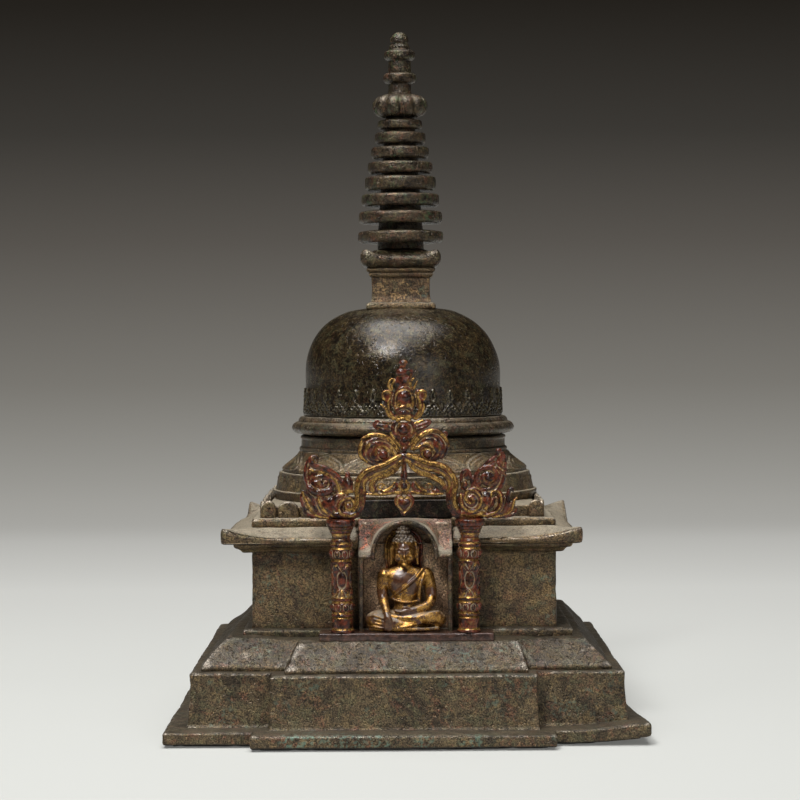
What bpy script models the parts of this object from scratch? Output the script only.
# Votive stupa, a small cast copper-alloy shrine model 250 mm tall.
# Sizes are in millimetres in this file and are turned into metres when a mesh is made.
# X runs to the right, Y runs to the back, Z is up. The origin is on the axis, at the foot.

import math

import bmesh
import bpy
from mathutils import Matrix, Vector

MM = 0.001
GAP = 0.3  # clearance left between one casting and the next

# Heights at which the square tiers end, from the ground up
FOOT_TOP = 5.3
PLINTH_TOP = 23.9
SLOPE_TOP = 33.7
STEP_TOP = 36.8
BODY_TOP = 63.6
COVE_TOP = 66.4
EAVE_TOP = 72.0
PETAL_PLATE_TOP = 74.8
PETAL_BED_TOP = 78.9
PETAL_TOP = 80.7

# Half widths of the square tiers
FOOT_HALF = 82.5
PLINTH_HALF = 75.0
LIP_HALF = 70.1
SLOPE_HALF = 61.2
STEP_HALF = 56.5
BODY_HALF = 52.4
COVE_HALF = 57.4
EAVE_HALF = 61.4
PETAL_PLATE_HALF = 51.9
PETAL_HALF = 49.5
PETAL_THICK = 1.7

# The front of the three lowest tiers stands forward under the shrine door
FRONT_STEP = 8.6
FOOT_FRONT_HALF = 51.2
PLINTH_FRONT_HALF = 46.1
LIP_FRONT_HALF = 40.8
SLOPE_FRONT_HALF = 36.6

# Heights at which the round parts end
TERRACE_TOP = 88.8
LOTUS_TOP = 96.5
DRUM_TOP = 102.4
TORUS_TOP = 109.1
DOME_TOP = 148.4
HARMIKA_FOOT_TOP = 150.4
HARMIKA_TOP = 159.9
HARMIKA_CORNICE_TOP = 163.2
HARMIKA_CAP_TOP = 170.0
CORE_TOP = 218.1
BULB_TOP = 226.9
FINIAL_LOWER_TOP = 235.0
HEIGHT = 250.0

# Spire rings: radius, underside and top of each
RINGS = [
    (15.5, 172.5, 176.7),
    (15.0, 179.6, 183.9),
    (14.1, 185.9, 190.3),
    (12.9, 191.7, 196.7),
    (11.8, 197.9, 202.1),
    (10.5, 203.4, 207.6),
    (9.4, 208.8, 212.9),
    (8.2, 214.1, 217.5),
]
CORE_BOTTOM_RADIUS = 8.6
CORE_TOP_RADIUS = 5.4

# The niche and the arch on two pillars that stands before it
NICHE_FRONT = -62.0
NICHE_BACK = -BODY_HALF - GAP
NICHE_HALF = 16.3
NICHE_OPENING_HALF = 14.8
NICHE_SHOULDER = 62.4
NICHE_ARCH_RADIUS = 11.7
NICHE_ARCH_OPENING = 9.9
NICHE_SPRING = 62.8
PORCH_FRONT = -70.0
PORCH_HALF = 30.0
PORCH_SHIFT = 0.3
PILLAR_X = 21.6
PILLAR_Y = -66.0
PILLAR_TOP = 75.7
CAPITAL_HALF = 4.9
ARCH_DEPTH = 0.85  # depth of a strap as a share of its width
VOLUTE_CENTRE = (-9.0, 100.9)
VOLUTE_WIDE = 5.4
VOLUTE_TALL = 3.5
VOLUTE_THICK = 1.3
VOLUTE_STEPS = 16

ROUND_STEPS = 40
SPIRE_STEPS = 28
FINE_STEPS = 16

FINISHES = {
    "bronze_dark": ((0.085, 0.070, 0.048), 0.48, 0.75),
    "bronze_dome": ((0.060, 0.050, 0.038), 0.34, 0.80),
    "bronze_tan": ((0.190, 0.130, 0.075), 0.50, 0.75),
    "lacquer_gilt": ((0.110, 0.035, 0.020), 0.38, 0.55),
    "gilt": ((0.560, 0.330, 0.100), 0.35, 0.90),
}


def clear_scene():
    for obj in list(bpy.data.objects):
        bpy.data.objects.remove(obj, do_unlink=True)


def finish(name):
    made = bpy.data.materials.get(name)
    if made:
        return made
    colour, roughness, metallic = FINISHES[name]
    made = bpy.data.materials.new(name)
    made.use_nodes = True
    shader = made.node_tree.nodes["Principled BSDF"]
    shader.inputs["Base Color"].default_value = (*colour, 1.0)
    shader.inputs["Roughness"].default_value = roughness
    shader.inputs["Metallic"].default_value = metallic
    return made


def add_object(name, bm, finish_name, smooth=True):
    bmesh.ops.remove_doubles(bm, verts=bm.verts, dist=0.002)
    bmesh.ops.recalc_face_normals(bm, faces=bm.faces)
    bmesh.ops.scale(bm, vec=(MM, MM, MM), verts=bm.verts)
    mesh = bpy.data.meshes.new(name)
    bm.to_mesh(mesh)
    bm.free()
    if smooth:
        mesh.shade_smooth()
        mesh.set_sharp_from_angle(angle=math.radians(32))
    mesh.materials.append(finish(finish_name))
    obj = bpy.data.objects.new(name, mesh)
    bpy.context.collection.objects.link(obj)
    return obj


def combine(target, other, operation="UNION"):
    cut = target.modifiers.new(f"{operation.lower()} {other.name}", "BOOLEAN")
    cut.object = other
    cut.operation = operation
    cut.solver = "EXACT"
    other.hide_render = True
    other.display_type = "WIRE"


# Basic shapes, all sizes in millimetres


def loft(loops, closed=False):
    # Joins point loops of one length; closed joins the last to the first, as in a ring
    bm = bmesh.new()
    rows = [[bm.verts.new(point) for point in loop] for loop in loops]
    count = len(rows[0])
    pairs = list(zip(rows, rows[1:]))
    if closed:
        pairs.append((rows[-1], rows[0]))
    for low, high in pairs:
        for i in range(count):
            j = (i + 1) % count
            bm.faces.new((low[i], low[j], high[j], high[i]))
    if not closed:
        bm.faces.new(list(reversed(rows[0])))
        bm.faces.new(rows[-1])
    return bm


def turned(profile, steps=ROUND_STEPS, ring=False):
    # Spins an outline of (radius, height) points about the upright axis
    bm = bmesh.new()
    points = [bm.verts.new((radius, 0.0, height)) for radius, height in profile]
    edges = [bm.edges.new(pair) for pair in zip(points, points[1:])]
    if ring:
        edges.append(bm.edges.new((points[-1], points[0])))
    bmesh.ops.spin(
        bm,
        geom=points + edges,
        axis=(0, 0, 1),
        cent=(0, 0, 0),
        steps=steps,
        angle=math.tau,
        use_merge=True,
        use_duplicate=False,
    )
    return bm


def solid_profile(points):
    low, high = points[0][1], points[-1][1]
    return [(0.0, low), *points, (0.0, high)]


def shifted(bm, offset):
    bmesh.ops.translate(bm, vec=offset, verts=bm.verts)
    return bm


def ellipsoid(centre, radii, rings=8, segments=12):
    bm = bmesh.new()
    bmesh.ops.create_uvsphere(bm, u_segments=segments, v_segments=rings, radius=1.0)
    bmesh.ops.scale(bm, vec=radii, verts=bm.verts)
    return shifted(bm, centre)


def box(low, high):
    bm = bmesh.new()
    bmesh.ops.create_cube(bm, size=1.0)
    low, high = Vector(low), Vector(high)
    bmesh.ops.scale(bm, vec=high - low, verts=bm.verts)
    return shifted(bm, (low + high) / 2)


def prism(outline, front, back):
    # An upright outline of (x, z) points, drawn out along Y
    return loft([[(x, y, z) for x, z in outline] for y in (front, back)])


def arc(centre, radius, start, end, steps):
    turn = (end - start) / steps
    angles = [math.radians(start + turn * i) for i in range(steps + 1)]
    return [(centre[0] + radius * math.cos(a), centre[1] + radius * math.sin(a)) for a in angles]


def smooth_path(points, steps=3):
    # A Catmull-Rom curve through the points, which are tuples of any one length
    path = []
    ends = [points[0], *points, points[-1]]
    for before, here, after, beyond in zip(ends, ends[1:], ends[2:], ends[3:]):
        for i in range(steps):
            t = i / steps
            path.append(
                tuple(
                    0.5
                    * (
                        2 * b
                        + (c - a) * t
                        + (2 * a - 5 * b + 4 * c - d) * t * t
                        + (3 * b - a - 3 * c + d) * t**3
                    )
                    for a, b, c, d in zip(before, here, after, beyond)
                )
            )
    path.append(points[-1])
    return path


def swept(path, depth=1.0, sides=8):
    # A round or flattened bar along (x, y, z, radius) points
    loops = []
    for i, point in enumerate(path):
        before = Vector(path[max(i - 1, 0)][:3])
        after = Vector(path[min(i + 1, len(path) - 1)][:3])
        along = (after - before).normalized()
        side = along.cross(Vector((0, 1, 0)))
        if side.length < 0.2:
            side = along.cross(Vector((0, 0, 1)))
        side.normalize()
        front = side.cross(along).normalized()
        centre, radius = Vector(point[:3]), point[3]
        loop = []
        for k in range(sides):
            a = math.tau * (k + 0.5) / sides
            loop.append(centre + side * radius * math.cos(a) + front * radius * depth * math.sin(a))
        loops.append(loop)
    return loft(loops)


# Square tiers


def tier_outline(half, height, front_half=0.0, forward=0.0):
    points = [(-half, -half)]
    if forward:
        points += [
            (-front_half, -half),
            (-front_half, -half - forward),
            (front_half, -half - forward),
            (front_half, -half),
        ]
    points += [(half, -half), (half, half), (-half, half)]
    return [(x, y, height) for x, y in points]


def square_tier(name, levels, finish_name="bronze_dark"):
    # levels: (half width, height) or (half width, height, front half width, forward step)
    return add_object(name, loft([tier_outline(*level) for level in levels]), finish_name, smooth=False)


def build_base():
    square_tier(
        "foot_plate",
        [
            (FOOT_HALF, 0.0, FOOT_FRONT_HALF, FRONT_STEP),
            (FOOT_HALF, FOOT_TOP - 1.0, FOOT_FRONT_HALF, FRONT_STEP),
            (FOOT_HALF - 0.8, FOOT_TOP, FOOT_FRONT_HALF - 0.8, FRONT_STEP),
        ],
    )
    # The plinth wall is a little hollow in profile, with a fillet at its foot
    plinth = []
    for half, height in (
        (PLINTH_HALF + 1.6, FOOT_TOP + GAP),
        (PLINTH_HALF, FOOT_TOP + 1.6),
        (PLINTH_HALF - 1.1, 12.0),
        (PLINTH_HALF - 1.7, 18.0),
        (PLINTH_HALF - 1.4, PLINTH_TOP),
    ):
        front_half = half - (PLINTH_HALF - PLINTH_FRONT_HALF)
        plinth.append((half, height, front_half, FRONT_STEP - 0.2))
    square_tier("plinth", plinth)
    square_tier(
        "sloped_tier",
        [
            (LIP_HALF, PLINTH_TOP + GAP, LIP_FRONT_HALF, FRONT_STEP),
            (LIP_HALF, 28.2, LIP_FRONT_HALF, FRONT_STEP),
            (SLOPE_HALF, SLOPE_TOP, SLOPE_FRONT_HALF, FRONT_STEP),
        ],
    )
    square_tier("step_plate", [(STEP_HALF, SLOPE_TOP + GAP), (STEP_HALF - 0.2, STEP_TOP)])
    square_tier("body_block", [(BODY_HALF, STEP_TOP + GAP), (BODY_HALF, BODY_TOP)])


def build_cornice():
    notch = add_object(
        "notch_cutter",
        box((-NICHE_HALF - GAP, -90, BODY_TOP - 5), (NICHE_HALF + GAP, -BODY_HALF, PETAL_BED_TOP)),
        "bronze_dark",
    )
    cove = square_tier(
        "cornice_cove",
        [
            (COVE_HALF - 0.8, BODY_TOP + GAP),
            (COVE_HALF - 0.6, BODY_TOP + 1.5),
            (COVE_HALF, COVE_TOP),
        ],
    )
    combine(cove, notch, "DIFFERENCE")
    eave = add_object("eave_roof", eave_shape(), "bronze_dark", smooth=False)
    combine(eave, notch, "DIFFERENCE")
    square_tier(
        "petal_plate",
        [
            (PETAL_PLATE_HALF, EAVE_TOP + GAP),
            (PETAL_PLATE_HALF, PETAL_PLATE_TOP - 0.8),
            (PETAL_PLATE_HALF - 0.7, PETAL_PLATE_TOP),
        ],
    )
    bed_half = PETAL_HALF - PETAL_THICK - GAP
    square_tier("petal_bed", [(bed_half, PETAL_PLATE_TOP + GAP), (bed_half, PETAL_BED_TOP)])


def square_loop(half, spots):
    # Points round a square, at the given shares of each side from -1 to 1
    points = []
    for turn in range(4):
        rotation = Matrix.Rotation(turn * math.pi / 2, 2)
        points += [rotation @ Vector((half * spot, -half)) for spot in spots]
    return points


def eave_shape():
    # Flat below; above, the edge sweeps up over the last part of each side to the corner
    sweep, lift = 22.0, 4.3
    spots = [-1 + share for share in (0, 0.06, 0.13, 0.21, 0.30, 0.40)]
    spots += [0.0, *(-s for s in reversed(spots[1:]))]
    underside = COVE_TOP + GAP
    edge = underside + 1.7
    inner_half = PETAL_PLATE_HALF - 0.3

    def raised(spot):
        reach = max(0.0, 1 - (1 - abs(spot)) * EAVE_HALF / sweep)
        return lift * reach * reach

    outer = square_loop(EAVE_HALF, spots)
    heights = [raised(spot) for spot in spots] * 4
    return loft(
        [
            [(*point, underside) for point in square_loop(EAVE_HALF - 0.4, spots)],
            [(*point, underside + 0.5) for point in outer],
            [(*point, edge + rise) for point, rise in zip(outer, heights)],
            [(*point, EAVE_TOP) for point in square_loop(inner_half, spots)],
        ]
    )


def build_petal_row():
    # One square ring of round-topped petals with a notch between each two
    petals = 13
    spots, heights = [], []
    for index in range(petals):
        for across in (-1.0, -0.62, 0.0, 0.62):
            spots.append(-1 + (2 * index + 1 + across) / petals)
            crown = math.sqrt(1 - across * across)
            heights.append(PETAL_BED_TOP + (PETAL_TOP - PETAL_BED_TOP) * crown)
    bottom = PETAL_PLATE_TOP + GAP
    outer = square_loop(PETAL_HALF, spots)
    inner = square_loop(PETAL_HALF - PETAL_THICK, spots)
    heights = heights * 4
    bm = loft(
        [
            [(*point, bottom) for point in outer],
            [(*point, height) for point, height in zip(outer, heights)],
            [(*point, height) for point, height in zip(inner, heights)],
            [(*point, bottom) for point in inner],
        ],
        closed=True,
    )
    add_object("petal_row", bm, "bronze_dark", smooth=False)


# Round parts above the square ones


def round_part(name, profile, finish_name="bronze_dark", steps=ROUND_STEPS):
    return add_object(name, turned(solid_profile(profile), steps), finish_name)


def build_drum():
    round_part(
        "round_terrace",
        [
            (46.9, PETAL_BED_TOP + GAP),
            (47.0, 80.0),
            (47.9, 81.9),
            (47.8, 82.3),
            (46.8, 82.5),
            (45.9, TERRACE_TOP),
        ],
    )
    round_part(
        "lotus_tier",
        [
            (44.6, TERRACE_TOP + GAP),
            (45.0, 90.0),
            (43.5, 91.7),
            (41.6, 93.3),
            (39.2, 95.2),
            (38.0, LOTUS_TOP),
        ],
    )
    round_part(
        "drum",
        [
            (37.9, LOTUS_TOP + GAP),
            (37.8, 97.9),
            (37.1, 98.1),
            (37.1, 101.3),
            (38.3, 101.7),
            (38.3, DRUM_TOP),
        ],
    )
    torus = arc((38.0, 105.25), 2.35, -80, 80, 6)
    round_part(
        "torus_ring",
        [(37.9, DRUM_TOP + GAP), *torus, (37.9, 107.9), (37.6, TORUS_TOP)],
    )


def build_dome():
    round_part(
        "dome",
        [
            (36.7, TORUS_TOP + GAP),
            (36.7, 113.0),
            (36.4, 118.0),
            (35.9, 120.2),
            (35.6, 126.3),
            (34.6, 130.9),
            (32.75, 135.3),
            (30.1, 139.5),
            (26.5, 143.2),
            (22.4, 145.8),
            (18.2, 147.5),
            (12.9, DOME_TOP),
        ],
        "bronze_dome",
    )


def build_harmika():
    square_tier("harmika_foot", [(12.6, DOME_TOP + GAP), (12.4, HARMIKA_FOOT_TOP)])
    square_tier(
        "harmika_block",
        [(9.9, HARMIKA_FOOT_TOP + GAP), (9.6, 155.0), (9.6, HARMIKA_TOP)],
        "bronze_tan",
    )
    square_tier(
        "harmika_cornice",
        [
            (10.9, HARMIKA_TOP + GAP),
            (11.1, 161.7),
            (11.8, 161.9),
            (11.8, HARMIKA_CORNICE_TOP),
        ],
    )
    add_object("harmika_cap", cap_shape(), "bronze_dark", smooth=False)


def cap_shape():
    # A cushion slab whose upper corners stand a little higher than its edges
    spots = [-1.0, -0.72, -0.4, 0.0, 0.4, 0.72]
    corner_rise, edge = 2.0, 167.4
    half = 14.3
    outer = square_loop(half, spots)
    rises = [corner_rise * max(0.0, abs(spot) - 0.3) / 0.7 for spot in spots] * 4
    underside = HARMIKA_CORNICE_TOP + GAP
    return loft(
        [
            [(*point, underside) for point in square_loop(half - 1.5, spots)],
            [(*point, underside + 1.6) for point in outer],
            [(*point, edge + rise) for point, rise in zip(outer, rises)],
            [(*point, HARMIKA_CAP_TOP) for point in square_loop(7.6, spots)],
        ]
    )


def build_spire():
    bottom = HARMIKA_CAP_TOP + GAP

    def core_radius(height):
        share = (height - bottom) / (CORE_TOP - bottom)
        return CORE_BOTTOM_RADIUS + (CORE_TOP_RADIUS - CORE_BOTTOM_RADIUS) * share

    round_part(
        "spire_core",
        [(CORE_BOTTOM_RADIUS, bottom), (CORE_TOP_RADIUS, CORE_TOP)],
        steps=SPIRE_STEPS,
    )
    for index, (radius, low, high) in enumerate(RINGS, start=1):
        edge = min(0.9, (high - low) * 0.2)
        profile = [
            (core_radius(low) + GAP, low),
            (radius - edge, low),
            (radius, low + edge),
            (radius, high - edge),
            (radius - edge, high),
            (core_radius(low) + GAP, high),
        ]
        add_object(f"spire_ring_{index}", turned(profile, SPIRE_STEPS, ring=True), "bronze_dark")


def build_finial():
    lobes, steps = 10, 4
    loops = []
    for radius, height in (
        (4.6, CORE_TOP + GAP),
        (8.4, 219.3),
        (10.0, 221.6),
        (10.0, 224.0),
        (8.6, 226.0),
        (4.8, BULB_TOP),
    ):
        loop = []
        for i in range(lobes * steps):
            # The first cleft faces the front, which is towards -Y
            angle = math.tau * i / (lobes * steps) - math.pi / 2
            swell = abs(math.sin(math.pi * i / steps))
            local = radius * (0.86 + 0.14 * swell)
            loop.append((local * math.cos(angle), local * math.sin(angle), height))
        loops.append(loop)
    add_object("lotus_bulb", loft(loops), "bronze_dark")
    round_part(
        "finial_lower",
        [
            (4.3, BULB_TOP + GAP),
            (4.0, 231.2),
            (5.6, 231.6),
            (6.0, 234.6),
            (4.6, FINIAL_LOWER_TOP),
        ],
        steps=FINE_STEPS,
    )
    round_part(
        "finial_upper",
        [
            (4.4, FINIAL_LOWER_TOP + GAP),
            (4.2, 239.6),
            (5.3, 239.9),
            (5.7, 243.0),
            (3.9, 243.4),
            (3.8, 245.2),
            (3.2, 245.4),
            (3.3, 246.8),
            (2.8, 248.6),
            (1.6, 249.7),
            (0.6, HEIGHT),
        ],
        steps=FINE_STEPS,
    )


# The niche, its housing and the figure


def build_niche():
    steps = 12
    bottom = STEP_TOP + GAP
    shoulder = NICHE_SHOULDER + 1.5
    crown = arc((0, NICHE_SPRING), NICHE_ARCH_RADIUS, 174, 6, steps)
    front = [(-NICHE_HALF, bottom), (-NICHE_HALF, shoulder), *crown]
    front += [(NICHE_HALF, shoulder), (NICHE_HALF, bottom)]
    roof = PETAL_PLATE_TOP + 0.2
    back = [(-NICHE_HALF, bottom), (-NICHE_HALF, roof)]
    back += [(x * 1.1, roof) for x, _ in crown]
    back += [(NICHE_HALF, roof), (NICHE_HALF, bottom)]
    housing = add_object(
        "niche_housing",
        loft(
            [
                [(x, NICHE_FRONT, z) for x, z in front],
                [(x, NICHE_FRONT + 1.7, z) for x, z in front],
                [(x, NICHE_BACK, z) for x, z in back],
            ]
        ),
        "bronze_tan",
        smooth=False,
    )
    inner = arc((0, NICHE_SPRING), NICHE_ARCH_OPENING, 180, 0, steps)
    opening = [(-NICHE_OPENING_HALF, bottom - 2), (-NICHE_OPENING_HALF, NICHE_SHOULDER)]
    opening += [(-NICHE_ARCH_OPENING, NICHE_SHOULDER), *inner, (NICHE_ARCH_OPENING, NICHE_SHOULDER)]
    opening += [(NICHE_OPENING_HALF, NICHE_SHOULDER), (NICHE_OPENING_HALF, bottom - 2)]
    cutter = add_object("opening_cutter", prism(opening, NICHE_FRONT - 3, NICHE_BACK + 3), "bronze_tan")
    combine(housing, cutter, "DIFFERENCE")
    panel_front = -PETAL_PLATE_HALF + 0.2
    panel_back = -PETAL_HALF - GAP
    add_object(
        "niche_attic",
        box((-16.0, panel_front, PETAL_PLATE_TOP + GAP), (16.0, panel_back, 81.0)),
        "bronze_dark",
        smooth=False,
    )


def build_figure():
    # A seated figure, one hand down over the knee, the other in the lap
    middle = -60.0
    seat = STEP_TOP + GAP
    figure = add_object("buddha_figure", ellipsoid((0, middle - 0.4, 50.5), (6.4, 3.9, 9.6)), "gilt")
    pieces = {
        "legs": ellipsoid((-0.3, middle - 1.0, seat + 2.9), (13.3, 5.9, 4.2)),
        "shoulders": ellipsoid((0, middle, 55.0), (8.8, 3.3, 3.4)),
        "neck": swept([(0, middle, 56.0, 2.2), (0, middle - 0.3, 62.0, 2.1)]),
        "head": ellipsoid((0, middle - 0.6, 64.3), (3.8, 4.1, 5.2)),
        "topknot": ellipsoid((0, middle - 0.1, 70.0), (2.0, 2.0, 2.1)),
        "arm_down": swept(
            [
                (-8.0, middle, 55.0, 2.1),
                (-8.9, middle - 0.6, 47.0, 1.9),
                (-7.4, middle - 5.6, 42.0, 1.4),
                (-6.9, middle - 6.5, 38.4, 1.2),
            ]
        ),
        "arm_lap": swept(
            [
                (8.0, middle, 55.0, 2.1),
                (9.0, middle - 0.8, 48.0, 2.0),
                (4.5, middle - 4.2, 45.2, 1.5),
                (0.8, middle - 5.0, 44.6, 1.2),
            ]
        ),
    }
    for name, bm in pieces.items():
        combine(figure, add_object(f"part_{name}", bm, "gilt"))
    ground = add_object("ground_cutter", box((-20, -75, seat - 8), (20, -50, seat)), "gilt")
    combine(figure, ground, "DIFFERENCE")
    halo = [(-5.9, 58.4), (-6.1, 63.0), *arc((0, 65.6), 6.0, 172, 8, 8), (6.1, 63.0), (5.9, 58.4)]
    add_object("halo_rim", swept([(x, middle + 3.9, z, 0.65) for x, z in halo], sides=6), "gilt")


# The arch on two pillars before the niche


def build_pillar(name, x):
    profile = [
        (3.9, STEP_TOP + GAP),
        (3.9, 37.9),
        (3.4, 38.1),
        (3.4, 42.4),
        (3.8, 42.8),
        (3.7, 43.6),
        (3.95, 44.2),
        (3.95, 46.9),
        (3.6, 47.6),
        (3.6, 48.8),
        (3.2, 49.2),
        (3.2, 61.5),
        (3.6, 62.0),
        (3.9, 63.0),
        (3.9, 65.4),
        (3.6, 66.2),
        (3.6, 68.8),
        (3.0, 69.3),
        (3.0, 70.6),
        (3.7, 71.8),
        (4.1, 73.3),
        (CAPITAL_HALF, 74.5),
        (CAPITAL_HALF, PILLAR_TOP),
    ]
    bm = shifted(turned(solid_profile(profile), FINE_STEPS), (x, PILLAR_Y, 0))
    add_object(name, bm, "lacquer_gilt")


def build_porch_base():
    add_object(
        "porch_base",
        box(
            (PORCH_SHIFT - PORCH_HALF, PORCH_FRONT, SLOPE_TOP + GAP),
            (PORCH_SHIFT + PORCH_HALF, -STEP_HALF - GAP, STEP_TOP),
        ),
        "lacquer_gilt",
        smooth=False,
    )


def in_plane(points, mirror=1.0):
    # (x, z, radius) in the plane of the arch, mirrored for the right-hand side
    return [(x * mirror, PILLAR_Y, z, radius) for x, z, radius in points]


def build_arch():
    arch = None
    for side in (1.0, -1.0):
        strap = smooth_path(
            in_plane(
                [
                    (-16.3, 77.6, 1.2),
                    (-15.7, 81.3, 1.7),
                    (-15.2, 86.5, 1.8),
                    (-13.9, 90.6, 1.8),
                    (-10.6, 93.2, 1.8),
                    (-5.6, 94.6, 1.8),
                    (0.9, 96.6, 1.9),
                ],
                side,
            )
        )
        inner = smooth_path(
            in_plane(
                [(-13.4, 86.3, 0.9), (-11.4, 89.2, 1.1), (-7.4, 91.2, 1.1), (-2.6, 94.6, 1.2)],
                side,
            )
        )
        first = add_object(f"part_strap_{side:+.0f}", swept(strap, ARCH_DEPTH), "lacquer_gilt")
        second = add_object(f"part_inner_{side:+.0f}", swept(inner, ARCH_DEPTH), "lacquer_gilt")
        if arch is None:
            arch = first
            arch.name = "porch_arch"
        else:
            combine(arch, first)
        combine(arch, second)
    stem = shifted(
        turned(
            solid_profile(
                [(0.9, 82.6), (2.2, 84.0), (2.6, 86.4), (1.6, 88.6), (0.9, 89.6), (0.9, 95.5)]
            ),
            FINE_STEPS,
        ),
        (0, PILLAR_Y, 0),
    )
    combine(arch, add_object("part_stem", stem, "lacquer_gilt"))
    heart = [(0.0, 76.8), *arc((1.45, 81.8), 1.95, -35, 130, 6), (0.0, 82.8)]
    heart += [*arc((-1.45, 81.8), 1.95, 50, 215, 6)]
    pendant = prism(heart, PILLAR_Y - 1.2, PILLAR_Y + 1.2)
    combine(arch, add_object("part_pendant", pendant, "lacquer_gilt"))


def build_scrolls():
    for name, side in (("left", 1.0), ("right", -1.0)):
        # The volute that stands on the shoulder of the arch
        points = []
        for i in range(VOLUTE_STEPS + 1):
            share = i / VOLUTE_STEPS
            turn = math.radians(-60 + 375 * share)
            wide = VOLUTE_WIDE * (1 - 0.70 * share)
            tall = VOLUTE_TALL * (1 - 0.70 * share)
            x, z = VOLUTE_CENTRE
            thick = VOLUTE_THICK * (1 - 0.25 * share)
            points.append((x + wide * math.cos(turn), z + tall * math.sin(turn), thick))
        add_object(f"volute_{name}", swept(in_plane(points, side), ARCH_DEPTH), "lacquer_gilt")
        build_makara(f"makara_{name}", side)


def build_makara(name, side):
    # The leafy scroll beast on each capital: two rolled masses, a bud and a hooked tail
    def blob(x, z, wide, tall, deep):
        return ellipsoid((x * side, PILLAR_Y, z), (wide, deep, tall), rings=6, segments=10)

    body = add_object(name, blob(-27.8, 80.4, 6.4, 4.3, 2.6), "lacquer_gilt")
    hook = smooth_path(
        in_plane(
            [(-29.0, 86.0, 2.4), (-33.0, 90.2, 1.7), (-33.0, 94.6, 1.2), (-30.4, 96.6, 0.6)], side
        )
    )
    pieces = [
        blob(-21.6, 80.8, 3.6, 3.8, 2.6),
        blob(-27.0, 87.6, 4.9, 3.9, 2.6),
        blob(-19.4, 88.0, 1.7, 3.4, 1.5),
        blob(-33.4, 83.6, 1.8, 3.6, 1.6),
        swept(hook, ARCH_DEPTH),
        swept(in_plane([(-22.0, 84.0, 1.6), (-19.6, 86.4, 1.4)], side)),
        swept(in_plane([(-27.6, 82.6, 2.4), (-27.2, 85.4, 2.4)], side)),
    ]
    for index, bm in enumerate(pieces):
        combine(body, add_object(f"part_{name}_{index}", bm, "lacquer_gilt"))
    seat = add_object(
        f"cutter_{name}",
        box((-45, PILLAR_Y - 8, 70), (45, PILLAR_Y + 8, PILLAR_TOP + GAP)),
        "lacquer_gilt",
    )
    combine(body, seat, "DIFFERENCE")


def build_crest():
    crest = add_object("crest_bulb", ellipsoid((0, PILLAR_Y, 106.3), (4.0, 2.6, 3.0)), "lacquer_gilt")
    foot = swept([(0, PILLAR_Y, 98.9, 1.6), (0, PILLAR_Y, 103.4, 1.8)])
    combine(crest, add_object("part_crest_foot", foot, "lacquer_gilt"))
    for side in (1.0, -1.0):
        ear = smooth_path(
            in_plane([(-2.0, 106.6, 1.4), (-5.4, 107.6, 1.3), (-9.2, 109.0, 0.7)], side)
        )
        combine(crest, add_object(f"part_ear_{side:+.0f}", swept(ear), "lacquer_gilt"))
    jewel = add_object("flame_jewel", ellipsoid((0, PILLAR_Y, 116.4), (7.8, 1.5, 6.6)), "lacquer_gilt")
    for index, (height, wide, deep, tall) in enumerate(
        ((116.0, 4.2, 2.5, 5.2), (121.8, 3.6, 1.6, 4.4), (125.6, 2.4, 1.8, 2.6), (128.8, 1.4, 1.3, 1.9))
    ):
        bm = ellipsoid((0, PILLAR_Y, height), (wide, deep, tall), rings=6, segments=10)
        combine(jewel, add_object(f"part_jewel_{index}", bm, "lacquer_gilt"))


def main():
    clear_scene()
    build_base()
    build_cornice()
    build_petal_row()
    build_drum()
    build_dome()
    build_harmika()
    build_spire()
    build_finial()
    build_niche()
    build_figure()
    build_porch_base()
    build_pillar("pillar_left", -PILLAR_X)
    build_pillar("pillar_right", PILLAR_X)
    build_arch()
    build_scrolls()
    build_crest()


main()
